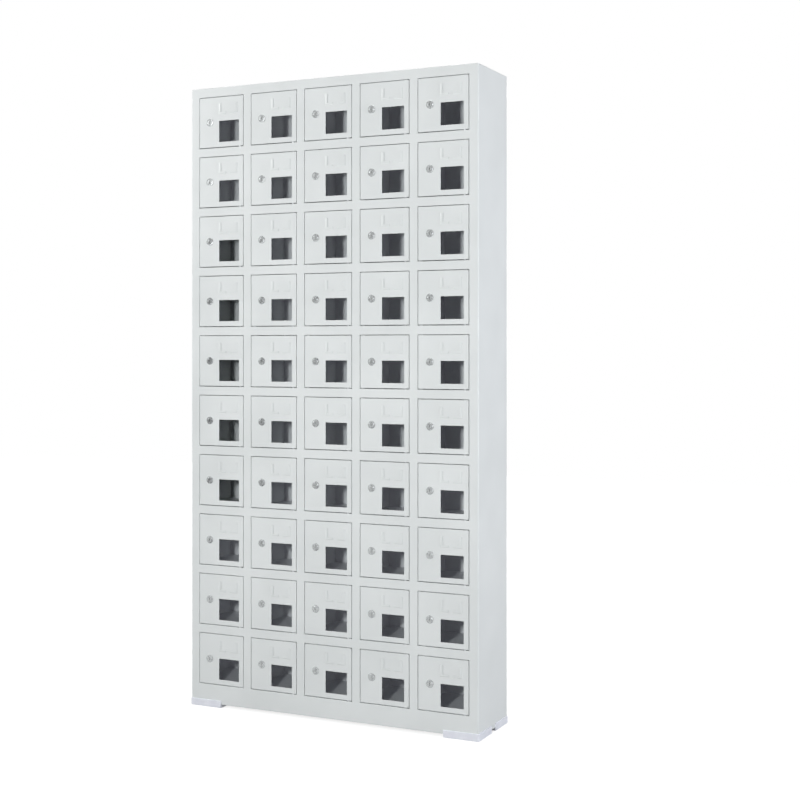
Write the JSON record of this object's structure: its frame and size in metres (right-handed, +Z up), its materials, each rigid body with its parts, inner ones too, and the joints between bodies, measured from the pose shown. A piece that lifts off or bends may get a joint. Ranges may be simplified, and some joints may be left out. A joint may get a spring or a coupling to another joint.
{
  "type": "cell phone locker",
  "caption": "Tall free-standing steel locker cabinet with a grid of small hinged doors, each with a cam lock, a clear window and a label holder, on plastic corner pads.",
  "frame": {"origin": "on the floor, under the middle of the cabinet's width and depth", "axes": "+Z up, -Y out of the doors, +X to the right as seen from the front"},
  "size_m": [0.906, 0.216, 1.789],
  "materials": {
    "frame_paint": "light grey powder coat, satin",
    "door_paint": "light grey powder coat, satin",
    "pads": "white moulded plastic, matt",
    "pins": "zinc plated",
    "lock": "bright plated zinc"
  },
  "bodies": {
    "cabinet": {"left_side_panel": "frame_paint", "right_side_panel": "frame_paint", "top_panel": "frame_paint", "base_panel": "frame_paint", "back_panel": "frame_paint", "partitions": "frame_paint", "shelves": "frame_paint", "foot_pads": "pads", "hinge_pins": "pins"},
    "door_row01_col1": {"door_row01_col1": "door_paint"},
    "door_row01_col2": {"door_row01_col2": "door_paint"},
    "door_row01_col3": {"door_row01_col3": "door_paint"},
    "door_row01_col4": {"door_row01_col4": "door_paint"},
    "door_row01_col5": {"door_row01_col5": "door_paint"},
    "door_row02_col1": {"door_row02_col1": "door_paint"},
    "door_row02_col2": {"door_row02_col2": "door_paint"},
    "door_row02_col3": {"door_row02_col3": "door_paint"},
    "door_row02_col4": {"door_row02_col4": "door_paint"},
    "door_row02_col5": {"door_row02_col5": "door_paint"},
    "door_row03_col1": {"door_row03_col1": "door_paint"},
    "door_row03_col2": {"door_row03_col2": "door_paint"},
    "door_row03_col3": {"door_row03_col3": "door_paint"},
    "door_row03_col4": {"door_row03_col4": "door_paint"},
    "door_row03_col5": {"door_row03_col5": "door_paint"},
    "door_row04_col1": {"door_row04_col1": "door_paint"},
    "door_row04_col2": {"door_row04_col2": "door_paint"},
    "door_row04_col3": {"door_row04_col3": "door_paint"},
    "door_row04_col4": {"door_row04_col4": "door_paint"},
    "door_row04_col5": {"door_row04_col5": "door_paint"},
    "door_row05_col1": {"door_row05_col1": "door_paint"},
    "door_row05_col2": {"door_row05_col2": "door_paint"},
    "door_row05_col3": {"door_row05_col3": "door_paint"},
    "door_row05_col4": {"door_row05_col4": "door_paint"},
    "door_row05_col5": {"door_row05_col5": "door_paint"},
    "door_row06_col1": {"door_row06_col1": "door_paint"},
    "door_row06_col2": {"door_row06_col2": "door_paint"},
    "door_row06_col3": {"door_row06_col3": "door_paint"},
    "door_row06_col4": {"door_row06_col4": "door_paint"},
    "door_row06_col5": {"door_row06_col5": "door_paint"},
    "door_row07_col1": {"door_row07_col1": "door_paint"},
    "door_row07_col2": {"door_row07_col2": "door_paint"},
    "door_row07_col3": {"door_row07_col3": "door_paint"},
    "door_row07_col4": {"door_row07_col4": "door_paint"},
    "door_row07_col5": {"door_row07_col5": "door_paint"},
    "door_row08_col1": {"door_row08_col1": "door_paint"},
    "door_row08_col2": {"door_row08_col2": "door_paint"},
    "door_row08_col3": {"door_row08_col3": "door_paint"},
    "door_row08_col4": {"door_row08_col4": "door_paint"},
    "door_row08_col5": {"door_row08_col5": "door_paint"},
    "door_row09_col1": {"door_row09_col1": "door_paint"},
    "door_row09_col2": {"door_row09_col2": "door_paint"},
    "door_row09_col3": {"door_row09_col3": "door_paint"},
    "door_row09_col4": {"door_row09_col4": "door_paint"},
    "door_row09_col5": {"door_row09_col5": "door_paint"},
    "door_row10_col1": {"door_row10_col1": "door_paint"},
    "door_row10_col2": {"door_row10_col2": "door_paint"},
    "door_row10_col3": {"door_row10_col3": "door_paint"},
    "door_row10_col4": {"door_row10_col4": "door_paint"},
    "door_row10_col5": {"door_row10_col5": "door_paint"},
    "lock_plug_row05_col3": {"lock_plug_row05_col3": "lock"}
  },
  "joints": [
    {"name": "key_turn_row05_col3", "type": "hinge", "parent": "door_row05_col3", "child": "lock_plug_row05_col3", "pos_m": [-0.0389, -0.105, 0.9996], "axis": [0, 1, 0], "range_deg": [0, 90]},
    {"name": "hinge_row01_col1", "type": "hinge", "parent": "cabinet", "child": "door_row01_col1", "pos_m": [-0.2867, -0.1, 1.6143], "axis": [0, 0, 1], "range_deg": [0, 110]},
    {"name": "hinge_row01_col2", "type": "hinge", "parent": "cabinet", "child": "door_row01_col2", "pos_m": [-0.1124, -0.1, 1.6143], "axis": [0, 0, 1], "range_deg": [0, 110]},
    {"name": "hinge_row01_col3", "type": "hinge", "parent": "cabinet", "child": "door_row01_col3", "pos_m": [0.0619, -0.1, 1.6143], "axis": [0, 0, 1], "range_deg": [0, 110]},
    {"name": "hinge_row01_col4", "type": "hinge", "parent": "cabinet", "child": "door_row01_col4", "pos_m": [0.2362, -0.1, 1.6143], "axis": [0, 0, 1], "range_deg": [0, 110]},
    {"name": "hinge_row01_col5", "type": "hinge", "parent": "cabinet", "child": "door_row01_col5", "pos_m": [0.4105, -0.1, 1.6143], "axis": [0, 0, 1], "range_deg": [0, 110]},
    {"name": "hinge_row02_col1", "type": "hinge", "parent": "cabinet", "child": "door_row02_col1", "pos_m": [-0.2867, -0.1, 1.4421], "axis": [0, 0, 1], "range_deg": [0, 110]},
    {"name": "hinge_row02_col2", "type": "hinge", "parent": "cabinet", "child": "door_row02_col2", "pos_m": [-0.1124, -0.1, 1.4421], "axis": [0, 0, 1], "range_deg": [0, 110]},
    {"name": "hinge_row02_col3", "type": "hinge", "parent": "cabinet", "child": "door_row02_col3", "pos_m": [0.0619, -0.1, 1.4421], "axis": [0, 0, 1], "range_deg": [0, 110]},
    {"name": "hinge_row02_col4", "type": "hinge", "parent": "cabinet", "child": "door_row02_col4", "pos_m": [0.2362, -0.1, 1.4421], "axis": [0, 0, 1], "range_deg": [0, 110]},
    {"name": "hinge_row02_col5", "type": "hinge", "parent": "cabinet", "child": "door_row02_col5", "pos_m": [0.4105, -0.1, 1.4421], "axis": [0, 0, 1], "range_deg": [0, 110]},
    {"name": "hinge_row03_col1", "type": "hinge", "parent": "cabinet", "child": "door_row03_col1", "pos_m": [-0.2867, -0.1, 1.2699], "axis": [0, 0, 1], "range_deg": [0, 110]},
    {"name": "hinge_row03_col2", "type": "hinge", "parent": "cabinet", "child": "door_row03_col2", "pos_m": [-0.1124, -0.1, 1.2699], "axis": [0, 0, 1], "range_deg": [0, 110]},
    {"name": "hinge_row03_col3", "type": "hinge", "parent": "cabinet", "child": "door_row03_col3", "pos_m": [0.0619, -0.1, 1.2699], "axis": [0, 0, 1], "range_deg": [0, 110]},
    {"name": "hinge_row03_col4", "type": "hinge", "parent": "cabinet", "child": "door_row03_col4", "pos_m": [0.2362, -0.1, 1.2699], "axis": [0, 0, 1], "range_deg": [0, 110]},
    {"name": "hinge_row03_col5", "type": "hinge", "parent": "cabinet", "child": "door_row03_col5", "pos_m": [0.4105, -0.1, 1.2699], "axis": [0, 0, 1], "range_deg": [0, 110]},
    {"name": "hinge_row04_col1", "type": "hinge", "parent": "cabinet", "child": "door_row04_col1", "pos_m": [-0.2867, -0.1, 1.0977], "axis": [0, 0, 1], "range_deg": [0, 110]},
    {"name": "hinge_row04_col2", "type": "hinge", "parent": "cabinet", "child": "door_row04_col2", "pos_m": [-0.1124, -0.1, 1.0977], "axis": [0, 0, 1], "range_deg": [0, 110]},
    {"name": "hinge_row04_col3", "type": "hinge", "parent": "cabinet", "child": "door_row04_col3", "pos_m": [0.0619, -0.1, 1.0977], "axis": [0, 0, 1], "range_deg": [0, 110]},
    {"name": "hinge_row04_col4", "type": "hinge", "parent": "cabinet", "child": "door_row04_col4", "pos_m": [0.2362, -0.1, 1.0977], "axis": [0, 0, 1], "range_deg": [0, 110]},
    {"name": "hinge_row04_col5", "type": "hinge", "parent": "cabinet", "child": "door_row04_col5", "pos_m": [0.4105, -0.1, 1.0977], "axis": [0, 0, 1], "range_deg": [0, 110]},
    {"name": "hinge_row05_col1", "type": "hinge", "parent": "cabinet", "child": "door_row05_col1", "pos_m": [-0.2867, -0.1, 0.9255], "axis": [0, 0, 1], "range_deg": [0, 110]},
    {"name": "hinge_row05_col2", "type": "hinge", "parent": "cabinet", "child": "door_row05_col2", "pos_m": [-0.1124, -0.1, 0.9255], "axis": [0, 0, 1], "range_deg": [0, 110]},
    {"name": "hinge_row05_col3", "type": "hinge", "parent": "cabinet", "child": "door_row05_col3", "pos_m": [0.0619, -0.1, 0.9255], "axis": [0, 0, 1], "range_deg": [0, 110]},
    {"name": "hinge_row05_col4", "type": "hinge", "parent": "cabinet", "child": "door_row05_col4", "pos_m": [0.2362, -0.1, 0.9255], "axis": [0, 0, 1], "range_deg": [0, 110]},
    {"name": "hinge_row05_col5", "type": "hinge", "parent": "cabinet", "child": "door_row05_col5", "pos_m": [0.4105, -0.1, 0.9255], "axis": [0, 0, 1], "range_deg": [0, 110]},
    {"name": "hinge_row06_col1", "type": "hinge", "parent": "cabinet", "child": "door_row06_col1", "pos_m": [-0.2867, -0.1, 0.7533], "axis": [0, 0, 1], "range_deg": [0, 110]},
    {"name": "hinge_row06_col2", "type": "hinge", "parent": "cabinet", "child": "door_row06_col2", "pos_m": [-0.1124, -0.1, 0.7533], "axis": [0, 0, 1], "range_deg": [0, 110]},
    {"name": "hinge_row06_col3", "type": "hinge", "parent": "cabinet", "child": "door_row06_col3", "pos_m": [0.0619, -0.1, 0.7533], "axis": [0, 0, 1], "range_deg": [0, 110]},
    {"name": "hinge_row06_col4", "type": "hinge", "parent": "cabinet", "child": "door_row06_col4", "pos_m": [0.2362, -0.1, 0.7533], "axis": [0, 0, 1], "range_deg": [0, 110]},
    {"name": "hinge_row06_col5", "type": "hinge", "parent": "cabinet", "child": "door_row06_col5", "pos_m": [0.4105, -0.1, 0.7533], "axis": [0, 0, 1], "range_deg": [0, 110]},
    {"name": "hinge_row07_col1", "type": "hinge", "parent": "cabinet", "child": "door_row07_col1", "pos_m": [-0.2867, -0.1, 0.5811], "axis": [0, 0, 1], "range_deg": [0, 110]},
    {"name": "hinge_row07_col2", "type": "hinge", "parent": "cabinet", "child": "door_row07_col2", "pos_m": [-0.1124, -0.1, 0.5811], "axis": [0, 0, 1], "range_deg": [0, 110]},
    {"name": "hinge_row07_col3", "type": "hinge", "parent": "cabinet", "child": "door_row07_col3", "pos_m": [0.0619, -0.1, 0.5811], "axis": [0, 0, 1], "range_deg": [0, 110]},
    {"name": "hinge_row07_col4", "type": "hinge", "parent": "cabinet", "child": "door_row07_col4", "pos_m": [0.2362, -0.1, 0.5811], "axis": [0, 0, 1], "range_deg": [0, 110]},
    {"name": "hinge_row07_col5", "type": "hinge", "parent": "cabinet", "child": "door_row07_col5", "pos_m": [0.4105, -0.1, 0.5811], "axis": [0, 0, 1], "range_deg": [0, 110]},
    {"name": "hinge_row08_col1", "type": "hinge", "parent": "cabinet", "child": "door_row08_col1", "pos_m": [-0.2867, -0.1, 0.4089], "axis": [0, 0, 1], "range_deg": [0, 110]},
    {"name": "hinge_row08_col2", "type": "hinge", "parent": "cabinet", "child": "door_row08_col2", "pos_m": [-0.1124, -0.1, 0.4089], "axis": [0, 0, 1], "range_deg": [0, 110]},
    {"name": "hinge_row08_col3", "type": "hinge", "parent": "cabinet", "child": "door_row08_col3", "pos_m": [0.0619, -0.1, 0.4089], "axis": [0, 0, 1], "range_deg": [0, 110]},
    {"name": "hinge_row08_col4", "type": "hinge", "parent": "cabinet", "child": "door_row08_col4", "pos_m": [0.2362, -0.1, 0.4089], "axis": [0, 0, 1], "range_deg": [0, 110]},
    {"name": "hinge_row08_col5", "type": "hinge", "parent": "cabinet", "child": "door_row08_col5", "pos_m": [0.4105, -0.1, 0.4089], "axis": [0, 0, 1], "range_deg": [0, 110]},
    {"name": "hinge_row09_col1", "type": "hinge", "parent": "cabinet", "child": "door_row09_col1", "pos_m": [-0.2867, -0.1, 0.2367], "axis": [0, 0, 1], "range_deg": [0, 110]},
    {"name": "hinge_row09_col2", "type": "hinge", "parent": "cabinet", "child": "door_row09_col2", "pos_m": [-0.1124, -0.1, 0.2367], "axis": [0, 0, 1], "range_deg": [0, 110]},
    {"name": "hinge_row09_col3", "type": "hinge", "parent": "cabinet", "child": "door_row09_col3", "pos_m": [0.0619, -0.1, 0.2367], "axis": [0, 0, 1], "range_deg": [0, 110]},
    {"name": "hinge_row09_col4", "type": "hinge", "parent": "cabinet", "child": "door_row09_col4", "pos_m": [0.2362, -0.1, 0.2367], "axis": [0, 0, 1], "range_deg": [0, 110]},
    {"name": "hinge_row09_col5", "type": "hinge", "parent": "cabinet", "child": "door_row09_col5", "pos_m": [0.4105, -0.1, 0.2367], "axis": [0, 0, 1], "range_deg": [0, 110]},
    {"name": "hinge_row10_col1", "type": "hinge", "parent": "cabinet", "child": "door_row10_col1", "pos_m": [-0.2867, -0.1, 0.0645], "axis": [0, 0, 1], "range_deg": [0, 110]},
    {"name": "hinge_row10_col2", "type": "hinge", "parent": "cabinet", "child": "door_row10_col2", "pos_m": [-0.1124, -0.1, 0.0645], "axis": [0, 0, 1], "range_deg": [0, 110]},
    {"name": "hinge_row10_col3", "type": "hinge", "parent": "cabinet", "child": "door_row10_col3", "pos_m": [0.0619, -0.1, 0.0645], "axis": [0, 0, 1], "range_deg": [0, 110]},
    {"name": "hinge_row10_col4", "type": "hinge", "parent": "cabinet", "child": "door_row10_col4", "pos_m": [0.2362, -0.1, 0.0645], "axis": [0, 0, 1], "range_deg": [0, 110]},
    {"name": "hinge_row10_col5", "type": "hinge", "parent": "cabinet", "child": "door_row10_col5", "pos_m": [0.4105, -0.1, 0.0645], "axis": [0, 0, 1], "range_deg": [0, 110]}
  ]
}
